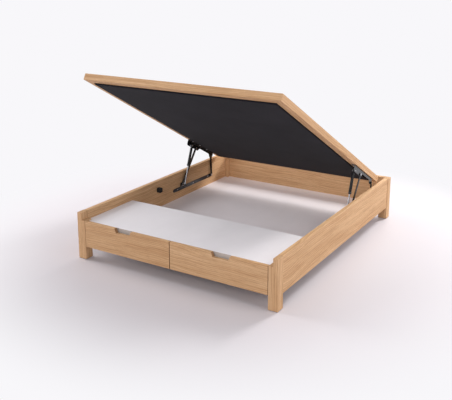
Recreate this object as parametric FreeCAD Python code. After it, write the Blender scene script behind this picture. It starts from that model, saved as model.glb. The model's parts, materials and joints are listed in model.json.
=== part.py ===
# Storage bed base: an oak frame with a lift-up lid over a storage well and two drawers at the foot end.
# Millimetres. +Z is up, the foot end faces -Y, and the origin is on the floor under the middle of the base.
import FreeCAD, Part
import math
import os

Vector = FreeCAD.Vector
AXIS_X = Vector(1, 0, 0)
AXIS_Y = Vector(0, 1, 0)
AXIS_Z = Vector(0, 0, 1)

# Lid and how it sits in the frame
lid_width = 1516.0
lid_length = 1944.0
lid_height = 46.0
lid_board = 55.0
side_gap = 5.0
head_gap = 8.0
foot_setback = 5.0
rail_above_seat = 54.0
rest_gap = 0.5

# Frame
rail_thick = 34.0
rail_bottom = 98.0
base_height = 344.0
leg_side = 68.0
leg_proud = 3.0
glide_thick = 3.0
glide_side = 48.0
tenon_thick = 12.0
tenon_length = 60.0
tenon_height = 120.0
tenon_play = 0.2

# Lid build-up
underside_proud = 10.0
underside_thick = 12.0
underside_play = 1.0
deck_thick = 16.0
cover_thick = 2.0
cross_bar_width = 60.0
cross_bar_count = 3

# Drawer bay
panel_thick = 16.0
bay_depth = 566.0
bay_top_thick = 22.0
bay_top_drop = 13.0
lip_thick = 16.0
finger_room = 20.0
bay_cleat = 20.0
stretcher_depth = 60.0
stretcher_thick = 12.0
batten_height = 50.0

# Drawers
front_thick = 25.0
front_gap = 3.0
middle_gap = 5.0
front_top_gap = 3.0
box_wall = 12.0
box_bottom_thick = 6.0
box_bottom_inset = 6.0
box_back_gap = 35.0
box_top_gap = 27.0
box_floor_gap = 6.0
notch_offset = 392.0
notch_top = 140.0
notch_bottom = 112.0
notch_depth = 33.0
notch_round = 6.0

# Drawer runners
runner_space = 13.0
runner_height = 38.0
runner_wall = 1.5
runner_depth = 11.0
runner_play = 0.4
runner_web_play = 1.0
runner_tab = 28.0
fixed_runner_front = 60.0
moving_runner_front = 35.0
runner_end_gap = 10.0

# Storage floor
floor_thick = 10.0
cleat_height = 12.0
cleat_width = 24.0
beam_width = 50.0
beam_height = 50.0

# Rubber stops under the lid's sides, part of the way from the drawer bay to the lift's lower brackets
stop_share = 0.6
stop_length = 33.0
stop_width = 36.0
stop_height = 38.0
stop_round = 9.0

# Lift linkage: the lid's lifted place, and its pivots measured along the lid from its head edge
lid_tilt = 28.7
lift_forward = 164.0
lift_up = 58.0
front_pivot = 390.0
rear_pivot = 118.0
spring_pivot = 491.0
pivot_drop = 38.0
front_anchor_drop = 59.0
rear_anchor_drop = 84.0

# Lift hardware; offsets run inwards from the rail's inner face
plate_thick = 4.0
plate_half_height = 15.0
plate_drop = 89.0
plate_ahead = 104.0
lug_radius = 16.0
boss_radius = 11.0
arm_offset = 10.0
arm_thick = 5.0
arm_half_width = 12.0
pin_radius = 5.0
pin_play = 0.05
pin_head_radius = 9.0
pin_head_thick = 2.6
head_play = 0.2
web_offset = 16.0
web_thick = 3.0
web_height = 50.0
web_round = 18.0
web_waist = 24.0
waist_margin = 26.0
waist_slope = 28.0
flange_width = 30.0
bracket_head_end = 106.0
bracket_length = 435.0

# Gas springs
spring_offset = 35.0
tube_radius = 11.0
tube_wall = 2.0
tube_length = 156.0
tube_start = 18.0
gland_length = 6.0
rod_radius = 5.0
rod_play = 0.3
piston_length = 10.0
eye_radius = 9.0
eye_thick = 10.0
eye_pin_radius = 4.0
neck_radius = 4.5
rod_end_radius = 7.0
rod_end_length = 16.0
collar_radius = 7.0
open_pivot_gap = 0.4

# Places worked out from the sizes above
base_width = lid_width + 2 * (side_gap + rail_thick + leg_proud)
base_length = foot_setback + lid_length + head_gap + rail_thick + leg_proud
foot_y = -base_length / 2
head_y = base_length / 2
outer_x = base_width / 2
leg_x = outer_x - leg_side
rail_in_x = outer_x - leg_proud - rail_thick
rail_out_x = outer_x - leg_proud
head_in_y = head_y - leg_proud - rail_thick
lid_x = lid_width / 2
lid_head_y = head_in_y - head_gap
lid_foot_y = lid_head_y - lid_length
lid_rest = base_height - rail_above_seat
lid_under = lid_rest + rest_gap
front_top = lid_rest - front_top_gap
bay_top_z = lid_rest - bay_top_drop
bay_under_z = bay_top_z - bay_top_thick
lip_low_z = bay_under_z - box_top_gap / 2
bay_front_y = foot_y + front_thick + finger_room
bay_back_y = foot_y + bay_depth
bay_back_face_y = bay_back_y - panel_thick
box_low = rail_bottom + stretcher_thick + box_floor_gap
box_height = bay_under_z - box_top_gap - box_low
box_back_y = bay_back_face_y - box_back_gap
runner_mid_z = box_low + box_height / 2
floor_under_z = rail_bottom + cleat_height
floor_top_z = floor_under_z + floor_thick
lid_pivot_edge = Vector(0, lid_head_y, lid_under)
lift_shift = Vector(0, -lift_forward, lift_up)


def box(x0, x1, y0, y1, z0, z1):
    return Part.makeBox(x1 - x0, y1 - y0, z1 - z0, Vector(x0, y0, z0))


def plate(outline, z0, z1):
    wire = Part.makePolygon([Vector(x, y, z0) for x, y in outline + outline[:1]])
    return Part.Face(wire).extrude(AXIS_Z * (z1 - z0))


def peg(centre, radius, x0, x1):
    # A round peg along X at a point of the Y-Z plane.
    return Part.makeCylinder(radius, x1 - x0, Vector(x0, centre.y, centre.z), AXIS_X)


def bar(start, end, radius, x0, x1):
    # A flat bar with round ends between two points of the Y-Z plane.
    start = Vector(x0, start.y, start.z)
    end = Vector(x0, end.y, end.z)
    along = (end - start).normalize()
    across = AXIS_X.cross(along) * radius
    cap_end = Part.Arc(end + across, end + along * radius, end - across).toShape()
    cap_start = Part.Arc(start - across, start - along * radius, start + across).toShape()
    sides = [
        Part.makeLine(start + across, end + across),
        Part.makeLine(end - across, start - across),
    ]
    wire = Part.Wire([sides[0], cap_end, sides[1], cap_start])
    return Part.Face(wire).extrude(AXIS_X * (x1 - x0))


def mirrored(shape):
    return shape.mirror(Vector(0, 0, 0), AXIS_X)


def lifted(shape):
    # Swings a piece from the shut lid's place to its lifted place.
    moved = shape.copy()
    moved.rotate(lid_pivot_edge, AXIS_X, -lid_tilt)
    moved.translate(lift_shift)
    return moved


def lifted_point(point):
    turn = FreeCAD.Rotation(AXIS_X, -lid_tilt)
    return turn.multVec(point - lid_pivot_edge) + lid_pivot_edge + lift_shift


def lid_point(along, drop=pivot_drop):
    # A point on the shut lid: so far from its head edge, and so far below its underside.
    return Vector(0, lid_head_y - along, lid_under - drop)


def anchor_point(along, drop_below_rest):
    # The frame pivot at this height that is equally far from a lid pivot shut and lifted.
    shut = lid_point(along)
    up = lifted_point(shut)
    middle = (shut + up) * 0.5
    run = shut - up
    z = lid_rest - drop_below_rest
    return Vector(0, middle.y - (z - middle.z) * run.z / run.y, z)


def side_x(offset):
    # X of a plane on the left, so far inwards from the rail's inner face.
    return -rail_in_x + offset


front_anchor = anchor_point(front_pivot, front_anchor_drop)
rear_anchor = anchor_point(rear_pivot, rear_anchor_drop)
front_joint = lifted_point(lid_point(front_pivot))
rear_joint = lifted_point(lid_point(rear_pivot))
spring_joint = lifted_point(lid_point(spring_pivot))
plate_foot_end = Vector(0, front_anchor.y - plate_ahead, lid_rest - plate_drop)
plate_head_end = Vector(0, rear_anchor.y, lid_rest - plate_drop)


def tenon(centre, along_x, play):
    # A loose tenon half in the leg and half in the rail; play makes it the mortise.
    long = tenon_length / 2 + play
    thick = tenon_thick / 2 + play
    high = tenon_height / 2 + play
    reach_x, reach_y = (long, thick) if along_x else (thick, long)
    x, y, z = centre
    return box(x - reach_x, x + reach_x, y - reach_y, y + reach_y, z - high, z + high)


def tenons(play):
    side_mid = rail_out_x - rail_thick / 2
    head_mid = head_in_y + rail_thick / 2
    z = (rail_bottom + lid_rest) / 2
    shapes = []
    for way in (-1, 1):
        for y in (foot_y + leg_side, head_y - leg_side):
            shapes.append(tenon((way * side_mid, y, z), False, play))
        shapes.append(tenon((way * leg_x, head_mid, z), True, play))
    return shapes


def leg(at_head):
    # A left leg. Its inner part stops at the lid's seat, and its outer part rises to the rail's top.
    y0 = head_y - leg_side if at_head else foot_y
    y1 = y0 + leg_side
    solid = box(-outer_x, -leg_x, y0, y1, glide_thick, base_height)
    seat_end = head_in_y if at_head else y1
    solid = solid.cut(box(-rail_in_x, -leg_x, y0, seat_end, lid_rest, base_height))
    return solid.cut(tenons(tenon_play))


def leg_glides():
    reach_x = outer_x - leg_side / 2
    reach_y = head_y - leg_side / 2
    half = glide_side / 2
    places = [(x, y) for x in (-reach_x, reach_x) for y in (-reach_y, reach_y)]
    return [box(x - half, x + half, y - half, y + half, 0, glide_thick) for x, y in places]


def side_rail():
    y0 = foot_y + leg_side
    y1 = head_y - leg_side
    rail = box(-rail_out_x, -rail_in_x, y0, y1, rail_bottom, base_height)
    return rail.cut(tenons(tenon_play))


def head_rail():
    rail = box(-leg_x, leg_x, head_in_y, head_in_y + rail_thick, rail_bottom, base_height)
    return rail.cut(tenons(tenon_play))


def foot_stretcher():
    y0 = bay_front_y
    return box(-leg_x, leg_x, y0, y0 + stretcher_depth, rail_bottom, rail_bottom + stretcher_thick)


def bay_top():
    # The white shelf over the drawers, with a tongue between the foot legs and a lip under its front edge.
    y_leg = foot_y + leg_side
    right = [(leg_x, bay_front_y), (leg_x, y_leg), (rail_in_x, y_leg), (rail_in_x, bay_back_y)]
    left = [(-x, y) for x, y in reversed(right)]
    lip = box(-leg_x, leg_x, bay_front_y, bay_front_y + lip_thick, lip_low_z, bay_under_z)
    return plate(right + left, bay_under_z, bay_top_z).fuse(lip).removeSplitter()


def bay_back():
    return box(-rail_in_x, rail_in_x, bay_back_face_y, bay_back_y, rail_bottom, bay_under_z)


def bay_divider():
    half = panel_thick / 2
    z0 = rail_bottom + stretcher_thick
    return box(-half, half, bay_front_y + lip_thick, bay_back_face_y, z0, bay_under_z)


def bay_cleat_left():
    y0 = foot_y + leg_side
    return box(-rail_in_x, -rail_in_x + bay_cleat, y0, bay_back_face_y, bay_under_z - bay_cleat, bay_under_z)


def runner_batten():
    z0 = runner_mid_z - batten_height / 2
    y0 = foot_y + leg_side
    return box(-rail_in_x, -leg_x, y0, bay_back_face_y, z0, z0 + batten_height)


def fixed_runner(wall_x, inward):
    # A channel on a wall at wall_x, open towards the drawer; inward is +1 or -1 along X.
    y0 = foot_y + fixed_runner_front
    y1 = bay_back_face_y - runner_end_gap
    z0 = runner_mid_z - runner_height / 2
    z1 = z0 + runner_height
    mouth_x = wall_x + inward * runner_depth
    web_x = wall_x + inward * runner_wall
    channel = box(min(wall_x, mouth_x), max(wall_x, mouth_x), y0, y1, z0, z1)
    hollow = box(min(web_x, mouth_x), max(web_x, mouth_x), y0, y1, z0 + runner_wall, z1 - runner_wall)
    return channel.cut(hollow)


def moving_runner(wall_x, inward):
    # The slide in a channel on a wall at wall_x, with a tab that meets the drawer's side.
    y0 = foot_y + moving_runner_front
    y1 = box_back_y - runner_end_gap
    half = runner_height / 2 - runner_wall - runner_play
    web_x = wall_x + inward * (runner_wall + runner_web_play)
    mouth_x = wall_x + inward * runner_depth
    side = wall_x + inward * runner_space
    slide = box(min(web_x, mouth_x), max(web_x, mouth_x), y0, y1, runner_mid_z - half, runner_mid_z + half)
    tab_low = runner_mid_z - runner_tab / 2
    tab = box(min(mouth_x, side), max(mouth_x, side), y0, y1, tab_low, tab_low + runner_tab)
    return slide.fuse(tab).removeSplitter()


def runner_walls():
    # The two walls of the left drawer's bay and the way each faces.
    return [(-leg_x, 1), (-panel_thick / 2, -1)]


def drawer_front():
    # The left drawer's front, with a finger notch in its top edge.
    face = box(-leg_x + front_gap, -middle_gap / 2, foot_y, foot_y + front_thick, rail_bottom, front_top)
    half_top = notch_top / 2
    half_low = notch_bottom / 2
    low = front_top - notch_depth
    outline = [(-half_top, front_top), (-half_low, low), (half_low, low), (half_top, front_top)]
    points = [Vector(x - notch_offset, foot_y, z) for x, z in outline]
    notch = Part.Face(Part.makePolygon(points + points[:1])).extrude(AXIS_Y * front_thick)
    middle = front_top - notch_depth / 2
    corners = [e for e in notch.Edges if e.BoundBox.ZMax < middle and e.BoundBox.YLength > notch_round]
    return face.cut(notch.makeFillet(notch_round, corners))


def drawer_sides():
    y0 = foot_y + front_thick
    sides = []
    for wall_x, inward in runner_walls():
        outer = wall_x + inward * runner_space
        inner = outer + inward * box_wall
        sides.append(box(min(outer, inner), max(outer, inner), y0, box_back_y, box_low, box_low + box_height))
    return sides


def drawer_inside():
    # The left and right faces of the left drawer's inside.
    reach = runner_space + box_wall
    return [wall_x + inward * reach for wall_x, inward in runner_walls()]


def drawer_back():
    x0, x1 = drawer_inside()
    return box(x0, x1, box_back_y - box_wall, box_back_y, box_low, box_low + box_height)


def drawer_bottom():
    x0, x1 = drawer_inside()
    z0 = box_low + box_bottom_inset
    return box(x0, x1, foot_y + front_thick, box_back_y - box_wall, z0, z0 + box_bottom_thick)


def floor_panel():
    # The left half of the storage floor, cut out round the head leg.
    y_leg = head_y - leg_side
    outline = [
        (0, bay_back_y),
        (0, head_in_y),
        (-leg_x, head_in_y),
        (-leg_x, y_leg),
        (-rail_in_x, y_leg),
        (-rail_in_x, bay_back_y),
    ]
    return plate(outline, floor_under_z, floor_top_z)


def floor_cleats():
    z = (rail_bottom, floor_under_z)
    side_y = (bay_back_y + cleat_width, head_y - leg_side)
    left = box(-rail_in_x, -rail_in_x + cleat_width, *side_y, *z)
    head = box(-leg_x, leg_x, head_in_y - cleat_width, head_in_y, *z)
    bay = box(-rail_in_x, rail_in_x, bay_back_y, bay_back_y + cleat_width, *z)
    return [left, mirrored(left), head, bay]


def centre_beam():
    half = beam_width / 2
    y0 = bay_back_y + cleat_width
    y1 = head_in_y - cleat_width
    return box(-half, half, y0, y1, floor_under_z - beam_height, floor_under_z)


def centre_foot():
    # A block as wide as the beam, under its middle.
    y = (bay_back_y + head_in_y) / 2
    half = beam_width / 2
    return box(-half, half, y - half, y + half, 0, floor_under_z - beam_height)


def rubber_stop():
    middle_y = bay_back_y + stop_share * (plate_foot_end.y - bay_back_y)
    y0 = middle_y - stop_width / 2
    block = box(side_x(0), side_x(stop_length), y0, y0 + stop_width, lid_rest - stop_height, lid_rest)
    corners = [e for e in block.Edges if e.BoundBox.XLength > stop_round]
    return block.makeFillet(stop_round, corners)


def lower_bracket():
    # A long plate on the rail with a lug at the front pivot and a spacer boss at both pivots.
    back = side_x(0)
    face = side_x(plate_thick)
    lug_foot = Vector(0, front_anchor.y, plate_foot_end.z)
    shape = bar(plate_foot_end, plate_head_end, plate_half_height, back, face)
    shape = shape.fuse(bar(lug_foot, front_anchor, lug_radius, back, face))
    for pivot in (front_anchor, rear_anchor):
        shape = shape.fuse(peg(pivot, boss_radius, face, side_x(arm_offset - head_play)))
    for pivot in (front_anchor, rear_anchor):
        shape = shape.cut(peg(pivot, pin_radius + pin_play, back, side_x(arm_offset)))
    return shape.removeSplitter()


def base_pins():
    head_x = side_x(arm_offset + arm_thick + head_play)
    pins = []
    for pivot in (front_anchor, rear_anchor):
        shank = peg(pivot, pin_radius, side_x(0), head_x)
        pins.append(shank.fuse(peg(pivot, pin_head_radius, head_x, head_x + pin_head_thick)))
    return pins


def front_arm():
    x0 = side_x(arm_offset)
    x1 = side_x(arm_offset + arm_thick)
    arm = bar(front_anchor, front_joint, arm_half_width, x0, x1)
    holes = [peg(p, pin_radius + pin_play, x0, x1) for p in (front_anchor, front_joint)]
    return arm.cut(holes)


def rear_arm():
    # Its lid end carries its own rivet, which stops just short of the lid's bracket.
    x0 = side_x(arm_offset)
    x1 = side_x(arm_offset + arm_thick)
    arm = bar(rear_anchor, rear_joint, arm_half_width, x0, x1)
    arm = arm.cut(peg(rear_anchor, pin_radius + pin_play, x0, x1))
    outer_head = peg(rear_joint, pin_head_radius, x0 - pin_head_thick, x0)
    inner_end = peg(rear_joint, pin_radius, x1, side_x(web_offset - open_pivot_gap))
    return arm.fuse([outer_head, inner_end]).removeSplitter()


def mitred_boards():
    # The lid's edge boards as foot, head, left and right.
    z0 = lid_under
    z1 = lid_under + lid_height
    x_out = lid_x
    x_in = lid_x - lid_board
    foot_in = lid_foot_y + lid_board
    head_in = lid_head_y - lid_board
    foot = [(-x_out, lid_foot_y), (x_out, lid_foot_y), (x_in, foot_in), (-x_in, foot_in)]
    head = [(-x_out, lid_head_y), (x_out, lid_head_y), (x_in, head_in), (-x_in, head_in)]
    left = [(-x_out, lid_foot_y), (-x_in, foot_in), (-x_in, head_in), (-x_out, lid_head_y)]
    right = [(-x, y) for x, y in left]
    return [lifted(plate(outline, z0, z1)) for outline in (foot, head, left, right)]


def lid_opening():
    # The space inside the lid's edge boards: x, foot y and head y.
    return lid_x - lid_board, lid_foot_y + lid_board, lid_head_y - lid_board


def lid_layer(play, low, high):
    x, y0, y1 = lid_opening()
    layer = box(-x + play, x - play, y0 + play, y1 - play, lid_under + low, lid_under + high)
    return lifted(layer)


deck_high = lid_height - cover_thick
deck_low = deck_high - deck_thick
underside_high = underside_thick - underside_proud


def lid_cross_bars():
    x, y0, y1 = lid_opening()
    bars = []
    for i in range(cross_bar_count):
        middle = y0 + (y1 - y0) * (i + 1) / (cross_bar_count + 1)
        half = cross_bar_width / 2
        bars.append(box(-x, x, middle - half, middle + half, lid_under + underside_high, lid_under + deck_low))
    return [lifted(b) for b in bars]


def bracket_waist():
    # The cut that leaves the bracket's web deep only at its pivots.
    head_end = rear_pivot + waist_margin
    foot_end = front_pivot - waist_margin
    corners = [
        lid_point(head_end, web_height),
        lid_point(head_end + waist_slope, web_waist),
        lid_point(foot_end - waist_slope, web_waist),
        lid_point(foot_end, web_height),
    ]
    points = [p + AXIS_X * side_x(web_offset) for p in corners]
    return Part.Face(Part.makePolygon(points + points[:1])).extrude(AXIS_X * web_thick)


def upper_bracket():
    # An angle under the lid's side board: its flange on the wood, its web hanging down for the pivots.
    y1 = lid_head_y - bracket_head_end
    y0 = y1 - bracket_length
    web = box(side_x(web_offset), side_x(web_offset + web_thick), y0, y1, lid_under - web_height, lid_under)
    middle = lid_under - web_height / 2
    low_corners = [e for e in web.Edges if e.BoundBox.XLength > web_thick / 2 and e.BoundBox.ZMax < middle]
    web = web.makeFillet(web_round, low_corners)
    x1 = side_x(web_offset + flange_width)
    flange = box(side_x(web_offset), x1, y0, y1, lid_under - web_thick, lid_under)
    shape = web.cut(bracket_waist()).fuse(flange)
    holes = [(front_pivot, pin_radius), (spring_pivot, eye_pin_radius)]
    for along, radius in holes:
        hole = peg(lid_point(along), radius + pin_play, side_x(0), side_x(web_offset + web_thick))
        shape = shape.cut(hole)
    return lifted(shape.removeSplitter())


def lid_pin():
    # The pin that joins the front arm to the lid's bracket, with a head at each end.
    pivot = lid_point(front_pivot)
    inner = side_x(web_offset + web_thick)
    outer = side_x(arm_offset - head_play)
    shape = peg(pivot, pin_radius, outer, inner)
    shape = shape.fuse(peg(pivot, pin_head_radius, inner, inner + pin_head_thick))
    shape = shape.fuse(peg(pivot, pin_head_radius, outer - pin_head_thick, outer))
    return lifted(shape.removeSplitter())


def eye_span():
    half = eye_thick / 2
    return side_x(spring_offset - half), side_x(spring_offset + half)


def spring_stud():
    # The stud on the lid's bracket that carries the gas spring's upper eye.
    pivot = lid_point(spring_pivot)
    eye_in, eye_out = eye_span()
    shape = peg(pivot, eye_pin_radius, side_x(web_offset), eye_out + head_play)
    shape = shape.fuse(peg(pivot, collar_radius, side_x(web_offset + web_thick), eye_in - head_play))
    clip = peg(pivot, collar_radius, eye_out + head_play, eye_out + head_play + pin_head_thick)
    return lifted(shape.fuse(clip).removeSplitter())


spring_along = (front_anchor - spring_joint).normalize()
spring_length = (front_anchor - spring_joint).Length
spring_top = Vector(side_x(spring_offset), spring_joint.y, spring_joint.z)
tube_end = tube_start + tube_length


def on_spring(distance):
    return spring_top + spring_along * distance


def along_spring(radius, start, end):
    return Part.makeCylinder(radius, end - start, on_spring(start), spring_along)


def gas_cylinder():
    # The tube with its upper eye; the bore is open only at the gland that the rod passes.
    eye_in, eye_out = eye_span()
    eye = peg(spring_joint, eye_radius, eye_in, eye_out)
    shape = along_spring(tube_radius, tube_start, tube_end).fuse(eye)
    shape = shape.fuse(along_spring(neck_radius, 0, tube_start))
    bore = along_spring(tube_radius - tube_wall, tube_start + tube_wall, tube_end - gland_length)
    gland = along_spring(rod_radius + rod_play, tube_end - gland_length, tube_end)
    hole = peg(spring_joint, eye_pin_radius + pin_play, eye_in, eye_out)
    return shape.cut([bore, gland, hole]).removeSplitter()


def gas_rod():
    # The piston rod; its lower eye carries a stud that stops just short of the frame's front pin.
    eye_in, eye_out = eye_span()
    piston_end = tube_end - gland_length - rod_play
    piston_radius = tube_radius - tube_wall - rod_play
    pin_end = side_x(arm_offset + arm_thick + head_play + pin_head_thick)
    end_low = spring_length - eye_radius
    end_high = end_low - rod_end_length
    shape = along_spring(piston_radius, piston_end - piston_length, piston_end)
    shape = shape.fuse(along_spring(rod_radius, piston_end, end_high))
    shape = shape.fuse(along_spring(rod_end_radius, end_high, end_low))
    shape = shape.fuse(along_spring(neck_radius, end_low, spring_length))
    shape = shape.fuse(peg(front_anchor, eye_radius, eye_in, eye_out))
    shape = shape.fuse(peg(front_anchor, collar_radius, pin_end + open_pivot_gap, eye_in))
    return shape.removeSplitter()


def angle_of(frm, to):
    return math.degrees(math.atan2(to.z - frm.z, to.y - frm.y))


def print_joints():
    # The travel that each joint needs to bring the lid from lifted to shut.
    shut_front = lid_point(front_pivot)
    shut_rear = lid_point(rear_pivot)
    shut_spring = lid_point(spring_pivot)
    front_turn = angle_of(front_anchor, shut_front) - angle_of(front_anchor, front_joint)
    rear_turn = angle_of(rear_anchor, shut_rear) - angle_of(rear_anchor, rear_joint)
    spring_turn = angle_of(front_anchor, shut_spring) - angle_of(front_anchor, spring_joint)
    stroke = spring_length - (shut_spring - front_anchor).Length
    print("front arm turn", front_turn, "rear arm turn", rear_turn, "lid turn", lid_tilt)
    print("spring turn", spring_turn, "stroke", stroke, "length", spring_length, "axis", -spring_along)
    print("front anchor", front_anchor, "rear anchor", rear_anchor)
    print("front joint", front_joint, "rear joint", rear_joint, "spring joint", spring_joint)


def build():
    pieces = {}

    def pair(name, shape):
        pieces[name + "_left"] = [shape]
        pieces[name + "_right"] = [mirrored(shape)]

    def both_sides(name, shapes):
        pieces[name] = shapes + [mirrored(s) for s in shapes]

    pair("leg_front", leg(False))
    pair("leg_rear", leg(True))
    pair("side_rail", side_rail())
    pieces["leg_glides"] = leg_glides()
    pieces["head_rail"] = [head_rail()]
    pieces["rail_tenons"] = tenons(0)
    pieces["foot_stretcher"] = [foot_stretcher()]
    pieces["bay_top"] = [bay_top()]
    pieces["bay_back"] = [bay_back()]
    pieces["bay_divider"] = [bay_divider()]
    both_sides("bay_cleats", [bay_cleat_left()])
    pair("runner_batten", runner_batten())
    both_sides("fixed_runners", [fixed_runner(x, way) for x, way in runner_walls()])
    pair("floor_panel", floor_panel())
    pieces["floor_cleats"] = floor_cleats()
    pieces["centre_beam"] = [centre_beam()]
    pieces["centre_foot"] = [centre_foot()]
    both_sides("rubber_stops", [rubber_stop()])
    pair("lower_bracket", lower_bracket())
    both_sides("base_pivot_pins", base_pins())
    pair("front_arm", front_arm())
    pair("rear_arm", rear_arm())
    for place, board in zip(("foot", "head", "left", "right"), mitred_boards()):
        pieces["lid_board_" + place] = [board]
    pieces["lid_cross_bars"] = lid_cross_bars()
    pieces["lid_deck"] = [lid_layer(0, deck_low, deck_high)]
    pieces["lid_cover"] = [lid_layer(0, deck_high, lid_height)]
    pieces["lid_underside"] = [lid_layer(underside_play, -underside_proud, underside_high)]
    pair("upper_bracket", upper_bracket())
    both_sides("lid_pivot_pins", [lid_pin()])
    both_sides("spring_studs", [spring_stud()])
    pair("gas_cylinder", gas_cylinder())
    pair("gas_rod", gas_rod())
    slides = [moving_runner(x, way) for x, way in runner_walls()]
    drawer = {
        "front": [drawer_front()],
        "sides": drawer_sides(),
        "back": [drawer_back()],
        "bottom": [drawer_bottom()],
        "runners": slides,
    }
    for piece, shapes in drawer.items():
        pieces["drawer_left_" + piece] = shapes
        pieces["drawer_right_" + piece] = [mirrored(s) for s in shapes]
    return pieces


def main():
    os.makedirs("parts", exist_ok=True)
    pieces = build()
    for name, shapes in pieces.items():
        shape = shapes[0] if len(shapes) == 1 else Part.makeCompound(shapes)
        shape.exportStep("parts/" + name + ".step")
    print(len(pieces), "nodes,", base_width, "x", base_length, "x", base_height)
    print_joints()


main()
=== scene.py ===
import bpy
import bmesh
import json
import math
from mathutils import Matrix, Vector, noise


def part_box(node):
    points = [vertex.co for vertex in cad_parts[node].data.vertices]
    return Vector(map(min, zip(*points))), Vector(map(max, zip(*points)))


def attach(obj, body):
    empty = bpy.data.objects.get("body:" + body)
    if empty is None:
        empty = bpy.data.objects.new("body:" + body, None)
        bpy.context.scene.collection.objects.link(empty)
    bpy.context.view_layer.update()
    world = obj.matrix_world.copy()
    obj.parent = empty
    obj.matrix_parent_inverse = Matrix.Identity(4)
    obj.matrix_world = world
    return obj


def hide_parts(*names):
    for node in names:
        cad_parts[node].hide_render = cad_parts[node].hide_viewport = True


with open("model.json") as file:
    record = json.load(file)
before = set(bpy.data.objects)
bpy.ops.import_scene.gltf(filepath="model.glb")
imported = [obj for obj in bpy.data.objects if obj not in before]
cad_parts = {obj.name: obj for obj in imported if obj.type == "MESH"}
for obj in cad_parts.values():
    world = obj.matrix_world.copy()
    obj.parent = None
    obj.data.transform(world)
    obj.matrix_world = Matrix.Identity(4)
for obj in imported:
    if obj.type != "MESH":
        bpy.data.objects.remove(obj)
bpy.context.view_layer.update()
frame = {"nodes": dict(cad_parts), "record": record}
nodes = frame["nodes"]
scene = bpy.context.scene
quarter = math.pi / 2
white = (1, 1, 1, 1)
print("frame loaded,", len(nodes), "pieces from CAD")


def tone(red, green, blue):
    # screen colour 0-255 to the linear colour that shaders take
    steps = [v / 255 for v in (red, green, blue)]
    return tuple(v / 12.92 if v < 0.04045 else ((v + 0.055) / 1.055) ** 2.4 for v in steps) + (1,)


def scaled(colour, factor, lift=0.0):
    # the same colour, darker or lighter
    return tuple(v * factor + lift for v in colour[:3]) + (1,)


# where the lid lies: read from the mattress face in the record
deckMount = next(m for m in frame["record"]["mounts"] if m["name"] == "mattress_deck")
lidUp = Vector(deckMount["axis"])
lidTilt = math.atan2(lidUp.y, lidUp.z)
lidAlong = Vector((0, -math.cos(lidTilt), math.sin(lidTilt)))  # from head edge to foot edge
sideLow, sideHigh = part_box("lid_board_left")
lid = {"height": 0.046, "board": 0.055}  # height and width of the edge boards
lid["length"] = (sideHigh.y - sideLow.y - lid["height"] * math.sin(lidTilt)) / math.cos(lidTilt)
lid["halfWidth"] = -sideLow.x
lidEdge = Vector(deckMount["pos_m"]) - lidAlong * lid["length"] / 2 - lidUp * lid["height"]


def onLid(x, along, above):
    # a point measured from the middle of the lid's head edge, at its underside
    return lidEdge + Vector((x, 0, 0)) + lidAlong * along + lidUp * above


# shader nodes: each socket takes a link or a plain value
def feed(tree, socket, value):
    if isinstance(value, bpy.types.NodeSocket):
        tree.links.new(value, socket)
    else:
        socket.default_value = value


def put(tree, kind, sockets=None, **props):
    node = tree.nodes.new("ShaderNode" + kind)
    for key, value in props.items():
        setattr(node, key, value)
    for key, value in (sockets or {}).items():
        feed(tree, node.inputs[key], value)
    return node


def dress(tree, shader, **looks):
    # Base_Color=... goes to the socket Base Color, and so on
    for key, value in looks.items():
        feed(tree, shader.inputs[key.replace("_", " ")], value)


def startMaterial(name, **fixed):
    mat = bpy.data.materials.new(name)
    mat.use_nodes = True
    shader = mat.node_tree.nodes["Principled BSDF"]
    dress(mat.node_tree, shader, **fixed)
    return mat, mat.node_tree, shader


def sums(tree, how, first, second):
    return put(tree, "Math", {0: first, 1: second}, operation=how).outputs["Value"]


def vectorSum(tree, how, first, second):
    return put(tree, "VectorMath", {0: first, 1: second}, operation=how).outputs["Vector"]


def blended(tree, *shares):
    # values added up, each by its share
    total = 0.0
    for value, share in shares:
        total = sums(tree, "ADD", total, sums(tree, "MULTIPLY", value, share))
    return total


def spread(tree, value, fromLow, fromHigh, low, high, **props):
    sockets = {"Value": value, "From Min": fromLow, "From Max": fromHigh, "To Min": low, "To Max": high}
    return put(tree, "MapRange", sockets, **props).outputs["Result"]


def mixColour(tree, amount, below, above, blend="MIX"):
    node = put(tree, "Mix", data_type="RGBA", blend_type=blend)
    feed(tree, node.inputs[0], amount)
    feed(tree, node.inputs[6], below)
    feed(tree, node.inputs[7], above)
    return node.outputs[2]


def ramp(tree, amount, stops):
    node = put(tree, "ValToRGB", {"Fac": amount})
    bands = node.color_ramp.elements
    for place, colour in stops[2:]:
        bands.new(place)
    for band, (place, colour) in zip(bands, stops):
        band.position = place
        band.color = colour
    return node.outputs["Color"]


def twoTone(tree, amount, span, low, high):
    # from one colour to the other over a span of the amount
    return ramp(tree, amount, [(span[0], low), (span[1], high)])


def objectSpace(tree):
    return put(tree, "TexCoord").outputs["Object"]


def turned(tree, vector, turn):
    return put(tree, "Mapping", {"Vector": vector, "Rotation": turn}).outputs["Vector"]


def grainNoise(tree, space, stretch, detail, rough=0.55):
    vector = put(tree, "Mapping", {"Vector": space, "Scale": stretch}).outputs["Vector"]
    sockets = {"Vector": vector, "Scale": 1.0, "Detail": detail, "Roughness": rough}
    return put(tree, "TexNoise", sockets).outputs["Fac"]


def noises(tree, space, look, *names):
    # the named noises of one finish, in that order
    return [grainNoise(tree, space, *look[name]) for name in names]


def bumped(tree, height, strength, depth, under=None):
    sockets = {"Height": height, "Strength": strength, "Distance": depth}
    if under:
        sockets["Normal"] = under
    return put(tree, "Bump", sockets).outputs["Normal"]


edgeSet = {"samples": 4, "flat": 0.995, "sharp": 0.8}  # flat and sharp are cosines


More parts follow.
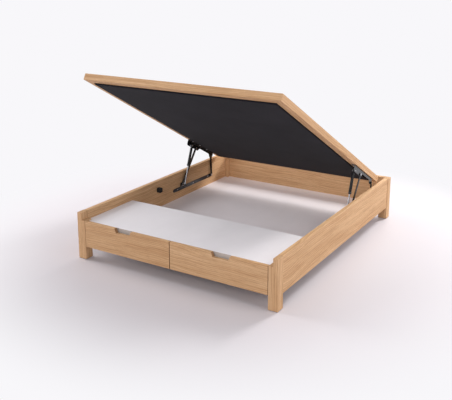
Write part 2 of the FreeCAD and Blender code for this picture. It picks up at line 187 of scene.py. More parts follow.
def edgeMask(tree, radius):
    # 1 on a sharp edge, 0 on the flat
    soft = put(tree, "Bevel", {"Radius": radius}, samples=edgeSet["samples"]).outputs["Normal"]
    flat = put(tree, "NewGeometry").outputs["Normal"]
    same = put(tree, "VectorMath", {0: soft, 1: flat}, operation="DOT_PRODUCT").outputs["Value"]
    return spread(tree, same, edgeSet["flat"], edgeSet["sharp"], 0.0, 1.0)


def facingShare(tree, axis, turn=(0, 0, 0)):
    # how squarely a face looks along one axis of the turned object, 0 to 1
    normal = turned(tree, put(tree, "TexCoord").outputs["Normal"], turn)
    return sums(tree, "ABSOLUTE", put(tree, "SeparateXYZ", {0: normal}).outputs[axis], 0.0)


# which way the grain runs
grain = {
    "across": (0, 0, 0),
    "lengthwise": (0, 0, -quarter),
    "upright": (0, quarter, 0),
    "lidAcross": (lidTilt, 0, 0),
    "lidLengthwise": (lidTilt, 0, quarter),
}
plankSpread = (7.3, 3.1, 5.7)  # metres over which the planks lie spread
wideSpan = (0.2, 0.8)  # where most of a strong noise lies
middleSpan = (0.25, 0.75)  # the same for a soft noise


def plankSpace(tree, turn):
    # object space turned so that X runs along the grain, with each board cut from its own plank
    plank = put(tree, "ObjectInfo").outputs["Random"]
    away = vectorSum(tree, "MULTIPLY", plank, plankSpread)
    return vectorSum(tree, "ADD", turned(tree, objectSpace(tree), turn), away)


def growthRings(tree, space, look, profile):
    # the board is cut well away from the heart of the tree
    bent = put(tree, "Mapping", {"Vector": space, **look["heart"]}).outputs["Vector"]
    form = {"wave_type": "RINGS", "rings_direction": "X", "wave_profile": profile}
    return put(tree, "TexWave", {"Vector": bent, **look["rings"]}, **form).outputs["Fac"]


# a noise is its stretch in X, Y and Z, its detail and its roughness
# a bump is its strength and its depth in metres
oakSet = {
    "figure": [(0.34, tone(187, 143, 101)), (0.5, tone(208, 167, 126)), (0.64, tone(221, 183, 143))],
    "streakTint": [(0.3, (0.80, 0.76, 0.72, 1)), (0.6, white)],
    "pore": tone(146, 104, 70),
    "edge": tone(221, 187, 151),
    # end colour: darker end grain, with painted shade for the shaded cut ends in the notches
    "end": tone(124, 87, 57),
    "shine": 0.15,
    "roughness": (0.54, 0.72),
    "bump": (0.22, 0.0007),
    "wander": ((1.25, 4.5, 4.5), 2),
    "sway": 0.065,  # metres from side to side
    "heart": {"Scale": (0.22, 1, 1), "Location": (0, 0.31, 0.23)},
    "rings": {
        "Scale": 26.0, "Distortion": 4.0, "Detail": 3.0, "Detail Scale": 0.6, "Detail Roughness": 0.6,
    },
    "ringShare": 0.18,
    "broad": ((0.9, 12, 12), 4),
    "broadShare": 0.22,
    "band": ((1.7, 62, 62), 5, 0.7),
    "bandShare": 0.6,
    "streak": ((3.0, 130, 130), 4, 0.6),
    "streakShare": 0.8,
    "pores": ((22, 700, 700), 2, 0.5),
    "poreSpan": (0.60, 0.70),
    "poreShare": 0.55,
    "poreDepth": 1.5,
    "endGrainShadeSpan": (0.4, 0.8),
    "wearEdge": 0.003,
    "wearSpan": (0.35, 0.65),
    "wearShare": (0.15, 0.7),
}


def oak(name, turn, endGrainShadeShare=0.5):
    look = oakSet
    mat, tree, shader = startMaterial(name, Specular_IOR_Level=look["shine"])
    space = plankSpace(tree, turn)
    # fibres that wander a little from side to side
    drift = sums(tree, "SUBTRACT", grainNoise(tree, space, *look["wander"]), 0.5)
    drift = sums(tree, "MULTIPLY", drift, look["sway"])
    aside = put(tree, "CombineXYZ", {1: drift, 2: drift}).outputs["Vector"]
    space = vectorSum(tree, "ADD", space, aside)
    # the figure: rings, broad bands and narrow bands, then streaks and pores
    rings = growthRings(tree, space, look, "SAW")
    broad, band, streak, pores = noises(tree, space, look, "broad", "band", "streak", "pores")
    shares = (rings, look["ringShare"]), (broad, look["broadShare"]), (band, look["bandShare"])
    colour = ramp(tree, blended(tree, *shares), look["figure"])
    tint = ramp(tree, streak, look["streakTint"])
    colour = mixColour(tree, look["streakShare"], colour, tint, "MULTIPLY")
    poreMask = spread(tree, pores, *look["poreSpan"], 0.0, look["poreShare"])
    colour = mixColour(tree, poreMask, colour, look["pore"])
    # end grain stays darker, and faces across the grain are darkened further as painted shade, for the
    # shaded cut ends of the drawer-front notches
    endGrainShadeMask = spread(tree, facingShare(tree, "X", turn), *look["endGrainShadeSpan"], 0.0, endGrainShadeShare)
    colour = mixColour(tree, endGrainShadeMask, colour, look["end"])
    # corners are rubbed paler, more in some places than in others
    patches = spread(tree, broad, *look["wearSpan"], *look["wearShare"])
    wear = sums(tree, "MULTIPLY", edgeMask(tree, look["wearEdge"]), patches)
    colour = mixColour(tree, wear, colour, look["edge"])
    roughness = spread(tree, streak, *wideSpan, *look["roughness"])
    height = sums(tree, "SUBTRACT", streak, sums(tree, "MULTIPLY", poreMask, look["poreDepth"]))
    relief = bumped(tree, height, *look["bump"])
    dress(tree, shader, Base_Color=colour, Roughness=roughness, Normal=relief)
    return mat


softwoodSet = {
    "figure": [(0.15, tone(205, 168, 118)), (0.85, tone(226, 196, 150))],
    "fibreTint": [(0.3, (0.8, 0.76, 0.7, 1)), (0.7, white)],
    "fibre": ((10, 300, 300), 3),
    "fibreShare": 0.35,
    "heart": {"Scale": (0.15, 1, 1), "Location": (0, 0.12, 0.2)},
    "rings": {"Scale": 16.0, "Distortion": 2.5, "Detail": 2.0, "Detail Scale": 1.0},
    "roughness": (0.55, 0.75),
    "bump": (0.25, 0.0005),
}


def softwood(name, turn):
    look = softwoodSet
    mat, tree, shader = startMaterial(name)
    space = plankSpace(tree, turn)
    rings = growthRings(tree, space, look, "SIN")
    fibre = grainNoise(tree, space, *look["fibre"])
    colour = ramp(tree, rings, look["figure"])
    tint = ramp(tree, fibre, look["fibreTint"])
    colour = mixColour(tree, look["fibreShare"], colour, tint, "MULTIPLY")
    roughness = spread(tree, fibre, *wideSpan, *look["roughness"])
    relief = bumped(tree, fibre, *look["bump"])
    dress(tree, shader, Base_Color=colour, Roughness=roughness, Normal=relief)
    return mat


boardSet = {
    "shine": 0.28,
    "pebble": ((900, 900, 900), 2),
    "bump": (0.08, 0.0002),
    "smear": ((5, 3, 5), 4, 0.6),
    "smearSpan": (0.3, 0.7),
    "smearDim": 0.95,
    "dust": ((38, 38, 38), 5, 0.7),
    "dustSpan": (0.62, 0.8),
    "dustShare": 0.18,
    "dustTone": tone(196, 190, 188),
    "edge": 0.0015,
    "edgeShare": 0.5,
    "edgeTone": tone(198, 194, 194),
    "uprightShadeSpan": (0.3, 0.7),
}


def whiteBoard(name, colour, roughness, band=None):
    # white facing: fine pebble, faint smears, and, where a band colour is given, painted shade: a greyer
    # band on the upright edges of a cut board
    look = boardSet
    mat, tree, shader = startMaterial(name, Specular_IOR_Level=look["shine"])
    pebble, smear, dust = noises(tree, objectSpace(tree), look, "pebble", "smear", "dust")
    shade = twoTone(tree, smear, look["smearSpan"], scaled(colour, look["smearDim"]), colour)
    dusty = spread(tree, dust, *look["dustSpan"], 0.0, look["dustShare"])
    shade = mixColour(tree, dusty, shade, look["dustTone"])
    corner = sums(tree, "MULTIPLY", edgeMask(tree, look["edge"]), look["edgeShare"])
    shade = mixColour(tree, corner, shade, look["edgeTone"])
    # painted shade: upright faces darkened, for the shelf's front edge in shade behind the drawer fronts
    if band:
        upright = spread(tree, facingShare(tree, "Z"), *look["uprightShadeSpan"], 1.0, 0.0)
        shade = mixColour(tree, upright, shade, band)
    roughness = spread(tree, smear, *middleSpan, *roughness)
    relief = bumped(tree, pebble, *look["bump"])
    dress(tree, shader, Base_Color=shade, Roughness=roughness, Normal=relief)
    return mat


feltSet = {
    "fixed": {"Sheen_Weight": 0.03, "Sheen_Roughness": 0.5, "Specular_IOR_Level": 0.08},
    "dark": tone(19, 18, 23),
    "light": tone(36, 34, 41),
    "span": (0.3, 0.7),
    "fibre": ((1300, 1300, 1300), 4, 0.7),
    "fibreShare": 0.45,
    "fibreBump": (0.5, 0.0006),
    "cloud": ((4, 4, 4), 4, 0.6),
    "cloudShare": 0.55,
    "lay": ((260, 60, 60), 3, 0.6),
    "layBump": (0.25, 0.0008),
    "roughness": (0.82, 0.95),
}


def felt(name):
    look = feltSet
    mat, tree, shader = startMaterial(name, **look["fixed"])
    fibre, lay, cloud = noises(tree, objectSpace(tree), look, "fibre", "lay", "cloud")
    mass = blended(tree, (fibre, look["fibreShare"]), (cloud, look["cloudShare"]))
    colour = twoTone(tree, mass, look["span"], look["dark"], look["light"])
    roughness = spread(tree, lay, *wideSpan, *look["roughness"])
    hair = bumped(tree, fibre, *look["fibreBump"])
    nap = bumped(tree, lay, *look["layBump"], hair)
    dress(tree, shader, Base_Color=colour, Roughness=roughness, Normal=nap)
    return mat


weaveSet = {
    "shine": 0.12,
    "warp": tone(122, 121, 124),
    "weft": tone(96, 96, 100),
    "threads": {"Scale": 150.0, "Distortion": 0.6, "Detail": 1.0},
    # painted shade in the gaps between the threads
    "threadGapShade": tone(52, 52, 56),
    "threadGapShadeSpan": (0.35, 0.75),
    "threadGapShadeShare": 0.85,
    "slub": ((22, 160, 22), 4, 0.65),
    "slubTint": [(0.3, (0.72, 0.72, 0.74, 1)), (0.7, white)],
    "slubShare": 0.6,
    "roughness": (0.75, 0.95),
    "bump": (0.1, 0.0004),
}


def weave(name):
    look = weaveSet
    mat, tree, shader = startMaterial(name, Specular_IOR_Level=look["shine"])
    flat = turned(tree, objectSpace(tree), grain["lidAcross"])
    wave = {"Vector": flat, **look["threads"]}
    warp = put(tree, "TexWave", wave, wave_type="BANDS", bands_direction="X").outputs["Fac"]
    weft = put(tree, "TexWave", wave, wave_type="BANDS", bands_direction="Y").outputs["Fac"]
    top = sums(tree, "MAXIMUM", warp, weft)
    slub = grainNoise(tree, flat, *look["slub"])
    colour = mixColour(tree, sums(tree, "GREATER_THAN", warp, weft), look["weft"], look["warp"])
    # painted shade: the gaps between the threads are darkened
    threadGapShadeMask = spread(tree, top, *look["threadGapShadeSpan"], look["threadGapShadeShare"], 0.0)
    colour = mixColour(tree, threadGapShadeMask, colour, look["threadGapShade"])
    tint = ramp(tree, slub, look["slubTint"])
    colour = mixColour(tree, look["slubShare"], colour, tint, "MULTIPLY")
    roughness = spread(tree, slub, *wideSpan, *look["roughness"])
    relief = bumped(tree, top, *look["bump"])
    dress(tree, shader, Base_Color=colour, Roughness=roughness, Normal=relief)
    return mat


coatSet = {
    "peel": ((1500, 1500, 1500), 2),
    "bump": (0.2, 0.0003),
    "rub": ((55, 55, 55), 5, 0.7),
    "rubSpan": (0.3, 0.75),
    "rubLight": (1.5, 0.002),  # factor and lift
    "worn": tone(120, 118, 116),
    "wornEdge": 0.0012,
    "wornSpan": (0.5, 0.7),
    "wornShare": 0.8,
}


def powderCoat(name, colour, roughness, shine):
    # coated steel, rubbed through to the metal here and there along its edges
    look = coatSet
    mat, tree, shader = startMaterial(name, Specular_IOR_Level=shine)
    peel, rub = noises(tree, objectSpace(tree), look, "peel", "rub")
    patches = spread(tree, rub, *look["wornSpan"], 0.0, look["wornShare"])
    worn = sums(tree, "MULTIPLY", edgeMask(tree, look["wornEdge"]), patches)
    shade = twoTone(tree, rub, look["rubSpan"], colour, scaled(colour, *look["rubLight"]))
    shade = mixColour(tree, worn, shade, look["worn"])
    roughness = spread(tree, rub, *middleSpan, *roughness)
    relief = bumped(tree, peel, *look["bump"])
    dress(tree, shader, Base_Color=shade, Roughness=roughness, Metallic=worn, Normal=relief)
    return mat


metalSet = {
    "scratch": (3, 0.6),  # detail and roughness; the stretch comes with each metal
    "bump": (0.12, 0.0002),
    "bloom": ((70, 70, 70), 4, 0.65),
    "bloomSpan": (0.3, 0.7),
    "bloomDim": 0.8,
}


def bareMetal(name, colour, roughness, brush):
    look = metalSet
    mat, tree, shader = startMaterial(name, Metallic=1.0)
    place = objectSpace(tree)
    scratch = grainNoise(tree, place, brush, *look["scratch"])
    bloom = grainNoise(tree, place, *look["bloom"])
    shade = twoTone(tree, bloom, look["bloomSpan"], scaled(colour, look["bloomDim"]), colour)
    roughness = spread(tree, scratch, *wideSpan, *roughness)
    relief = bumped(tree, scratch, *look["bump"])
    dress(tree, shader, Base_Color=shade, Roughness=roughness, Normal=relief)
    return mat


mouldSet = {
    "shine": 0.4,
    "spark": ((1100, 1100, 1100), 3, 0.6),
    "bump": (0.3, 0.0003),
    "bloom": ((60, 60, 60), 4, 0.6),
    "bloomSpan": (0.35, 0.75),
    "bloomLight": (1.7, 0.003),  # factor and lift
}


def moulded(name, colour, roughness):
    # rubber and plastic: fine spark texture and a little bloom
    look = mouldSet
    mat, tree, shader = startMaterial(name, Specular_IOR_Level=look["shine"])
    spark, bloom = noises(tree, objectSpace(tree), look, "spark", "bloom")
    shade = twoTone(tree, bloom, look["bloomSpan"], colour, scaled(colour, *look["bloomLight"]))
    roughness = spread(tree, bloom, *middleSpan, *roughness)
    relief = bumped(tree, spark, *look["bump"])
    dress(tree, shader, Base_Color=shade, Roughness=roughness, Normal=relief)
    return mat


# each finish: its maker, then that maker's own values
finishSet = {
    # the third value of an oak finish sets how dark its cut ends are: darker end grain and painted shade
    "oakAcross": (oak, grain["across"], 0.75),
    "oakLengthwise": (oak, grain["lengthwise"]),
    "oakUpright": (oak, grain["upright"], 0.25),
    "oakLidAcross": (oak, grain["lidAcross"]),
    "oakLidLengthwise": (oak, grain["lidLengthwise"]),
    "pineAcross": (softwood, grain["across"]),
    "pineLengthwise": (softwood, grain["lengthwise"]),
    "pineLid": (softwood, grain["lidAcross"]),
    # the shelf's last colour is painted shade on its upright edges
    "whiteShelf": (whiteBoard, tone(241, 236, 239), (0.42, 0.56), tone(200, 190, 183)),
    "whitePanel": (whiteBoard, tone(240, 232, 235), (0.42, 0.56)),
    "drawerFoil": (whiteBoard, tone(226, 223, 224), (0.38, 0.5)),
    "charcoalFelt": (felt,),
    "deckWeave": (weave,),
    "blackPowder": (powderCoat, tone(13, 13, 15), (0.16, 0.28), 0.5),
    "blackEnamel": (powderCoat, tone(10, 10, 11), (0.22, 0.36), 0.2),
    "brightZinc": (bareMetal, tone(205, 205, 208), (0.22, 0.4), (500, 500, 500)),
    "rodChrome": (bareMetal, tone(136, 136, 140), (0.16, 0.28), (1500, 60, 60)),
    "runnerZinc": (bareMetal, tone(198, 200, 204), (0.25, 0.42), (900, 12, 900)),
    "stopRubber": (moulded, tone(10, 10, 11), (0.65, 0.85)),
    "blackPlastic": (moulded, tone(30, 30, 32), (0.4, 0.55)),
}
paint = {name: maker(name, *looks) for name, (maker, *looks) in finishSet.items()}
metalFinishes = ("blackPowder", "blackEnamel", "brightZinc", "rodChrome", "runnerZinc")
print("materials made:", len(paint))


# CAD pieces by name or part of a name: finish, and width of the softened edge in metres
pieceFinish = [
    ("leg_", "oakUpright", 0.0018),
    ("side_rail", "oakLengthwise", 0.0015),
    ("head_rail", "oakAcross", 0.0015),
    ("lid_board_foot", "oakLidAcross", 0.0015),
    ("lid_board_head", "oakLidAcross", 0.0015),
    ("lid_board_", "oakLidLengthwise", 0.0015),
    ("_front", "oakAcross", 0.0013),
    ("bay_cleats", "pineLengthwise", 0.001),
    ("bay_top", "whiteShelf", 0.0006),
    ("bay_", "whitePanel", 0.0006),
    ("floor_panel", "whitePanel", 0.0005),
    ("foot_stretcher", "pineAcross", 0.001),
    ("runner_batten", "pineLengthwise", 0.001),
    ("floor_cleats", "pineLengthwise", None),
    ("centre_beam", "pineLengthwise", 0.002),
    ("rail_tenons", "pineLengthwise", 0.0),
    ("lid_cross_bars", "pineLid", 0.001),
    ("lid_deck", "pineLid", 0.0),
    ("lid_cover", "deckWeave", 0.0),
    ("lid_underside", "charcoalFelt", 0.0),
    ("leg_glides", "blackPlastic", 0.0008),
    ("centre_foot", "blackPlastic", 0.002),
    ("rubber_stops", "stopRubber", 0.002),
    ("bracket", "blackPowder", 0.0004),
    ("_arm_", "blackEnamel", 0.0006),
    ("gas_cylinder", "blackEnamel", 0.0008),
    ("gas_rod", "rodChrome", 0.0),
    ("pivot_pins", "brightZinc", 0.0005),
    ("spring_studs", "brightZinc", 0.0004),
    ("runners", "runnerZinc", 0.0003),
    ("drawer_", "drawerFoil", 0.0006),
]


def finishFor(name):
    exact = [row for row in pieceFinish if row[0] == name]
    return (exact or [row for row in pieceFinish if row[0] in name])[0]


softEdge = {"weld": 0.00002, "flatAngle": 0.5, "cornerAngle": 40, "segments": 3}  # metres and degrees


def softenEdges(obj, width, isBoard):
    if width is None:  # butted pieces in one node stay as cut
        return
    weld = obj.modifiers.new("weld", "WELD")
    weld.merge_threshold = softEdge["weld"]
    if width and isBoard:
        flat = obj.modifiers.new("wholeFaces", "DECIMATE")  # one face per flat side
        flat.decimate_type = "DISSOLVE"
        flat.angle_limit = math.radians(softEdge["flatAngle"])
    if width:
        bevel = obj.modifiers.new("softEdge", "BEVEL")
        bevel.width = width
        bevel.segments = softEdge["segments"]
        bevel.limit_method = "ANGLE"
        bevel.angle_limit = math.radians(softEdge["cornerAngle"])
        bevel.loop_slide = False  # corners stay inside the CAD box
        bevel.harden_normals = True


for name, obj in nodes.items():
    look, width = finishFor(name)[1:]
    obj.data.materials.clear()
    obj.data.materials.append(paint[look])
    softenEdges(obj, width, look not in metalFinishes)
print("CAD pieces finished")


def addPiece(name, mesh, look, body):
    obj = bpy.data.objects.new(name, mesh)
    scene.collection.objects.link(obj)
    mesh.materials.append(paint[look])
    for face in mesh.polygons:
        face.use_smooth = True
    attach(obj, body)
    return obj


# cloth panels of the lid
panelSet = {
    "rollLines": (0, 0.08, 0.25, 0.5, 0.75, 1.0, 1.6),  # shares of the rolled edge
    "evenLines": 28,
    "swell": (2.1, 1.7),  # waves in a metre, across and along
    "calm": 0.08,  # metres over which the swell dies out to the edge
}
openX = lid["halfWidth"] - lid["board"]  # half the opening between the edge boards


def panelLines(length, roll):
    # close lines near both ends so that a rolled edge is round, and even ones between
    near = [roll * share for share in panelSet["rollLines"]]
    count = panelSet["evenLines"]
    middle = [near[-1] + (length - 2 * near[-1]) * i / count for i in range(1, count)]
    return near + middle + [length - v for v in reversed(near)]


def wrappedPanel(name, look, low, high, faceUp):
    # a thin panel in cloth that fills the opening: rolled at its edges, with a slightly uneven face
    halfWidth = openX - look["play"]
    start, end = lid["board"] + look["play"], lid["length"] - lid["board"] - look["play"]
    roll = look["roll"]
    xs = [-halfWidth + v for v in panelLines(2 * halfWidth, roll)]
    ys = [start + v for v in panelLines(end - start, roll)]
    waveX, waveY = panelSet["swell"]
    sign = 1 if faceUp else -1
    faceLevel, backLevel = (high, low) if faceUp else (low, high)
    build = bmesh.new()
    grid = []
    for x in xs:
        column = []
        for y in ys:
            inset = min(x + halfWidth, halfWidth - x, y - start, end - y)
            curve = max(roll - inset, 0)
            drop = roll - math.sqrt(max(roll * roll - curve * curve, 0))
            calm = min(inset / panelSet["calm"], 1)
            swell = noise.noise(Vector((x * waveX, y * waveY, look["seed"]))) * look["waveHeight"] * calm
            column.append(build.verts.new(onLid(x, y, faceLevel - sign * (drop + abs(swell)))))
        grid.append(column)
    across, along = len(xs), len(ys)
    for i in range(across - 1):
        for j in range(along - 1):
            build.faces.new([grid[i][j], grid[i + 1][j], grid[i + 1][j + 1], grid[i][j + 1]])
    # walls down from the rim, and a flat back
    rim = [grid[i][0] for i in range(across)] + [grid[-1][j] for j in range(1, along)]
    rim += [grid[i][-1] for i in reversed(range(across - 1))]
    rim += [grid[0][j] for j in reversed(range(1, along - 1))]
    back = []
    for vert in rim:
        flat = vert.co - lidUp * (vert.co - lidEdge).dot(lidUp)
        back.append(build.verts.new(flat + lidUp * backLevel))
    centre = build.verts.new(onLid(0, (start + end) / 2, backLevel))
    for i in range(len(rim)):
        k = (i + 1) % len(rim)
        build.faces.new([rim[i], rim[k], back[k], back[i]])
        build.faces.new([back[i], back[k], centre])
    bmesh.ops.recalc_face_normals(build, faces=build.faces)
    mesh = bpy.data.meshes.new(name)
    build.to_mesh(mesh)
    build.free()
    return mesh


feltPanel = {
    "play": 0.001,
    "proud": 0.010,
    "deep": 0.002,
    "roll": 0.006,
    "waveHeight": 0.0009,
    "seed": 3.0,
}
panel = wrappedPanel("feltPanel", feltPanel, -feltPanel["proud"], feltPanel["deep"], False)
underside = addPiece("feltPanel", panel, "charcoalFelt", "lid")
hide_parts("lid_underside")

deckCloth = {
    "play": 0.0005,
    "thick": 0.002,
    "roll": 0.0014,
    "waveHeight": 0.0006,
    "seed": 8.0,
}
cloth = wrappedPanel("deckCloth", deckCloth, lid["height"] - deckCloth["thick"], lid["height"], True)
deck = addPiece("deckCloth", cloth, "deckWeave", "lid")
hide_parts("lid_cover")
print("lid panels made")


def addFittings(name, builds, look, body):
    # several small forms as one piece
    mesh = bpy.data.meshes.new(name)
    whole = bmesh.new()
    for build in builds:
        scrap = bpy.data.meshes.new("scrap")
        build.to_mesh(scrap)
        build.free()
        whole.from_mesh(scrap)
        bpy.data.meshes.remove(scrap)
    whole.to_mesh(mesh)
    whole.free()
    return addPiece(name, mesh, look, body)


def facing(point, direction):
    # matrix that stands local Z along direction at point
    turn = Vector(direction).to_track_quat("Z", "Y").to_matrix().to_4x4()
    return Matrix.Translation(Vector(point)) @ turn


def turnedForm(profile, place, sides=28):
    # a turned form: profile is (radius, height), closed on the axis or back at its start
    build = bmesh.new()
    angles = [2 * math.pi * k / sides for k in range(sides)]
    rings = []
    for radius, height in profile:
        if radius == 0:
            rings.append([build.verts.new((0, 0, height))])
            continue
        points = [(radius * math.cos(a), radius * math.sin(a), height) for a in angles]
        rings.append([build.verts.new(point) for point in points])
    for low, high in zip(rings, rings[1:]):
        for k in range(sides):
            n = (k + 1) % sides
            corners = [low[k % len(low)], low[n % len(low)], high[n % len(high)], high[k % len(high)]]
            build.faces.new(list(dict.fromkeys(corners)))
    bmesh.ops.remove_doubles(build, verts=build.verts, dist=1e-6)
    bmesh.ops.recalc_face_normals(build, faces=build.faces)
    build.transform(place)
    return build


screwSet = {
    "radius": 0.0048,
    "head": 0.0026,
    "dome": 3.2,  # higher is flatter on top
    "sink": 0.0002,
    "slot": 0.0009,
    "reach": 0.0030,
    "deep": 0.0013,
    "turn": 0.5,
    "turnPerMetre": 7,  # the recesses turn from screw to screw
    "sides": 32,
    "rings": 8,
}


def crossScrew(point, direction):
    # pan head with a cross recess
    look = screwSet
    sides, rings = look["sides"], look["rings"]
    build = bmesh.new()
    centre = build.verts.new((0, 0, look["head"] - look["deep"]))
    verts = []
    for r in range(1, rings + 1):
        row = []
        for k in range(sides):
            a = 2 * math.pi * k / sides
            radius = look["radius"] * r / rings
            x, y = radius * math.cos(a), radius * math.sin(a)
            z = look["head"] * math.sqrt(max(1 - (r / rings) ** look["dome"], 0))
            inSlot = min(abs(x), abs(y)) < look["slot"] and radius < look["reach"]
            row.append(build.verts.new((x, y, z - (look["deep"] if inSlot else 0))))
        verts.append(row)
    foot = [build.verts.new((v.co.x, v.co.y, -look["sink"])) for v in verts[-1]]
    for k in range(sides):
        n = (k + 1) % sides
        build.faces.new([centre, verts[0][k], verts[0][n]])
        for low, high in zip(verts, verts[1:]):
            build.faces.new([low[k], high[k], high[n], low[n]])
        build.faces.new([verts[-1][k], foot[k], foot[n], verts[-1][n]])
    build.faces.new(list(reversed(foot)))
    bmesh.ops.recalc_face_normals(build, faces=build.faces)
    turn = look["turn"] + point[1] * look["turnPerMetre"]
    build.transform(facing(point, direction) @ Matrix.Rotation(turn, 4, "Z"))
    return build


# screws through the lift brackets and into the rubber stops
plateScrews = {"count": 3, "inset": 0.045, "roundEnd": 0.015, "mid": 0.016, "thick": 0.004}
flangeScrews = {"count": 4, "first": 0.123, "pitch": 0.122, "mid": 0.0325, "thick": 0.003}
stopLength = 0.033
baseScrews, lidScrews, stopScrews = [], [], []
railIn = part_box("side_rail_left")[1].x
plateLow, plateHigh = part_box("lower_bracket_left")
first = plateLow.y + plateScrews["inset"] + plateScrews["roundEnd"]
last = plateHigh.y - plateScrews["inset"] - plateScrews["roundEnd"]
stopLow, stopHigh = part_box("rubber_stops")
stopMid = (stopLow + stopHigh) / 2
for side in (-1, 1):
    inward = (-side, 0, 0)
    for k in range(plateScrews["count"]):
        x = side * (-railIn - plateScrews["thick"])
        y = first + (last - first) * k / (plateScrews["count"] - 1)
        baseScrews.append(crossScrew((x, y, plateLow.z + plateScrews["mid"]), inward))
    stopScrews.append(crossScrew((side * (-railIn - stopLength), stopMid.y, stopMid.z), inward))
    for k in range(flangeScrews["count"]):
        along = flangeScrews["first"] + k * flangeScrews["pitch"]
        spot = onLid(side * (-railIn - flangeScrews["mid"]), along, -flangeScrews["thick"])
        lidScrews.append(crossScrew(spot, -lidUp))
addFittings("bracketScrewsBase", baseScrews, "brightZinc", "base")
addFittings("bracketScrewsLid", lidScrews, "brightZinc", "lid")
addFittings("stopScrews", stopScrews, "blackPowder", "base")
print("screws made:", len(baseScrews) + len(lidScrews) + len(stopScrews))


# gas springs: gland collar on the tube, and socket caps over the lower eyes
springSet = {
    "offset": 0.035,  # from the rail to the spring's centre line
    "tubeEnd": 0.174,
    "tube": 0.011,
    "rod": 0.0054,
    "collar": 0.0122,
    "collarLength": 0.012,
    "bead": 0.0006,
    "beadSpan": (0.010, 0.002),
    "nose": (0.0085, 0.003),  # radius and height
    "lip": (0.0062, 0.004),
    "cap": 0.0105,
    "capThick": 0.0034,
    "capDome": ((0.55, 0.0), (0.9, 0.0008), (1.0, 0.0022)),  # share of the radius, and drop
    "capAt": 0.0062,
}


def collarProfile(look):
    tube, rod, outer, back = look["tube"], look["rod"], look["collar"], -look["collarLength"]
    bead = [(outer + look["bead"], -drop) for drop in look["beadSpan"]]
    front = [(outer, 0.0), look["nose"], look["lip"], (rod, look["lip"][1]), (rod, 0.0), (tube, 0.0)]
    return [(tube, back), (outer, back)] + bead + front + [(tube, back)]


def capProfile(look):
    radius, back = look["cap"], -look["capThick"]
    dome = [(radius * share, -drop) for share, drop in look["capDome"]]
    return [(0, 0)] + dome + [(radius, back), (0, back)]


joints = {j["name"]: j for j in frame["record"]["behaviour"]["joints"]}
springTop = Vector(joints["spring_pivot"]["pos_m"])
springLow = Vector(joints["lid_lift"]["pos_m"])
springDown = (springLow - springTop).normalized()
collars, lowCaps = [], []
for side in (-1, 1):
    x = side * (-railIn - springSet["offset"])
    end = Vector((x, springTop.y, springTop.z)) + springDown * springSet["tubeEnd"]
    collars.append(turnedForm(collarProfile(springSet), facing(end, springDown)))
    inner = side * (-railIn - springSet["offset"] - springSet["capAt"])
    eye = (inner, springLow.y, springLow.z)
    lowCaps.append(turnedForm(capProfile(springSet), facing(eye, (-side, 0, 0))))
addFittings("springCollars", collars, "blackPlastic", "gas_cylinders")
addFittings("springEndCaps", lowCaps, "blackPlastic", "gas_rods")
print("gas spring trim made")


# cover caps over the drawers' corner fittings
capSet = {
    "radius": 0.0065,
    "high": 0.0012,
    "dome": ((1.0, 0.4), (0.9, 0.85), (0.7, 1.0)),  # shares of radius and height
    "sink": 0.0004,
    "sides": 20,
    "wall": 0.012,
    "inset": 0.022,
    "heights": (0.3, 0.7),  # shares of the drawer side
}
capForm = [(0, -capSet["sink"]), (capSet["radius"], -capSet["sink"])]
capForm += [(capSet["radius"] * out, capSet["high"] * up) for out, up in capSet["dome"]]
capForm += [(0, capSet["high"])]
for drawer in ("drawer_left", "drawer_right"):
    low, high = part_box(drawer + "_sides")
    caps = []
    for x, inward in ((low.x + capSet["wall"], 1), (high.x - capSet["wall"], -1)):
        for y in (low.y + capSet["inset"], high.y - capSet["wall"] - capSet["inset"]):
            for share in capSet["heights"]:
                z = low.z + (high.z - low.z) * share
                caps.append(turnedForm(capForm, facing((x, y, z), (inward, 0, 0)), capSet["sides"]))
    addFittings(drawer + "_caps", caps, "drawerFoil", drawer)
print("drawer caps made")


# stage: a pale floor that fades into the backdrop
stageSet = {
    "radius": 30.0,
    "sides": 96,
    "floor": tone(205, 199, 203),
    "fixed": {"Roughness": 0.55, "Specular_IOR_Level": 0.2},
    "mottle": ((1.5, 1.5, 1.5), 3),
    "mottleSpan": (0.3, 0.7),
    "mottleDim": 0.985,
    "fade": (1.3, 2.4),  # metres from the middle
    "backdrop": tone(248, 247, 250),
}


def seenRays(tree):
    # 1 for what the camera, metal and glass see, 0 for the light that falls on the bed
    ray = put(tree, "LightPath").outputs
    seen = sums(tree, "MAXIMUM", ray["Is Camera Ray"], ray["Is Glossy Ray"])
    return sums(tree, "MAXIMUM", seen, ray["Is Transmission Ray"])


def studioFloor():
    look = stageSet
    mesh = bpy.data.meshes.new("studioFloor")
    build = bmesh.new()
    bmesh.ops.create_circle(build, cap_ends=True, segments=look["sides"], radius=look["radius"])
    build.to_mesh(mesh)
    build.free()
    obj = bpy.data.objects.new("studioFloor", mesh)
    scene.collection.objects.link(obj)
    mat, tree, shader = startMaterial("studioFloor", **look["fixed"])
    place = objectSpace(tree)
    mottle = grainNoise(tree, place, *look["mottle"])
    dim = scaled(look["floor"], look["mottleDim"])
    dress(tree, shader, Base_Color=twoTone(tree, mottle, look["mottleSpan"], dim, look["floor"]))
    far = put(tree, "VectorMath", {0: place}, operation="LENGTH").outputs["Value"]
    fade = spread(tree, far, *look["fade"], 0.0, 1.0, interpolation_type="SMOOTHSTEP")
    glow = put(tree, "Emission", {"Color": look["backdrop"], "Strength": 1.0}).outputs["Emission"]
    amount = sums(tree, "MULTIPLY", fade, seenRays(tree))
    both = put(tree, "MixShader", {0: amount, 1: shader.outputs["BSDF"], 2: glow}).outputs["Shader"]
    tree.links.new(both, tree.nodes["Material Output"].inputs["Surface"])
    mesh.materials.append(mat)


studioFloor()

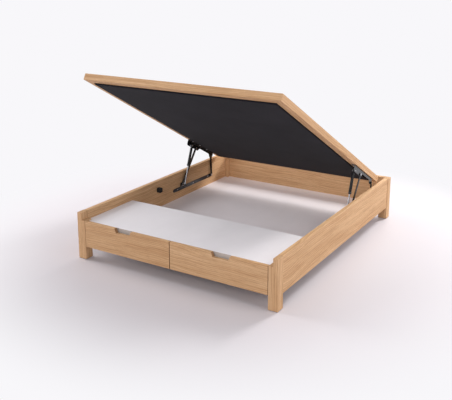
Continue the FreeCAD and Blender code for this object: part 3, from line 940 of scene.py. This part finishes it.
# soft lamps, all square
warm, neutral, cool = (1, 1, 0.99), (1, 1, 1), (0.99, 0.99, 1)
lightSet = {
    "back": {"at": (0.2, 8.0, 6.6), "aim": (0, 0.2, 0.2), "size": 4.5, "watts": 320, "colour": warm},
    "backRight": {"at": (1.8, 3.9, 3.2), "aim": (0, 0, 0.2), "size": 1.1, "watts": 155, "colour": warm},
    "backLow": {"at": (2.8, 5.6, 2.5), "aim": (0, 0, 0.2), "size": 1.8, "watts": 105, "colour": warm},
    "right": {"at": (5.2, -0.1, 3.1), "aim": (0, 0, 0.2), "size": 2.8, "watts": 86, "colour": neutral},
    "left": {"at": (-4.9, -1.1, 3.5), "aim": (0, 0, 0.2), "size": 3.0, "watts": 145, "colour": cool},
    "leftLow": {"at": (-5.2, -1.0, 1.3), "aim": (0, 0, 0.2), "size": 2.0, "watts": 95, "colour": cool},
    "front": {"at": (1.8, -6.2, 3.2), "aim": (0, 0, 0.3), "size": 3.0, "watts": 145, "colour": cool},
}


def softLight(name, look):
    data = bpy.data.lights.new(name, "AREA")
    data.shape = "SQUARE"
    data.size = look["size"]
    data.energy = look["watts"]
    data.color = look["colour"]
    obj = bpy.data.objects.new(name, data)
    obj.visible_camera = False
    obj.location = look["at"]
    obj.rotation_mode = "QUATERNION"
    obj.rotation_quaternion = (Vector(look["aim"]) - Vector(look["at"])).to_track_quat("-Z", "Y")
    scene.collection.objects.link(obj)


for name, look in lightSet.items():
    softLight(name, look)

worldSet = {"light": (0.93, 0.94, 0.97, 1), "strength": 0.42}


def studioWorld():
    world = bpy.data.worlds.new("studio")
    scene.world = world
    world.use_nodes = True
    tree = world.node_tree
    soft = tree.nodes["Background"]
    dress(tree, soft, Color=worldSet["light"], Strength=worldSet["strength"])
    backdrop = put(tree, "Background", {"Color": stageSet["backdrop"], "Strength": 1.0})
    sides = {0: seenRays(tree), 1: soft.outputs[0], 2: backdrop.outputs[0]}
    both = put(tree, "MixShader", sides).outputs["Shader"]
    tree.links.new(both, tree.nodes["World Output"].inputs["Surface"])


studioWorld()

cameraSet = {
    "at": (2.6039, -4.5176, 2.0389),
    "yaw": 0.5522,
    "pitch": 0.2292,
    "lens": 56.9,
    "shift": -0.15,
    "farClip": 200,
}
cameraData = bpy.data.cameras.new("studioCamera")
cameraData.lens = cameraSet["lens"]
cameraData.shift_y = cameraSet["shift"]
cameraData.clip_end = cameraSet["farClip"]
camera = bpy.data.objects.new("studioCamera", cameraData)
camera.location = cameraSet["at"]
camera.rotation_euler = (quarter - cameraSet["pitch"], 0, cameraSet["yaw"])
scene.collection.objects.link(camera)
scene.camera = camera
scene.view_settings.view_transform = "Standard"
print("stage, lights and camera set")
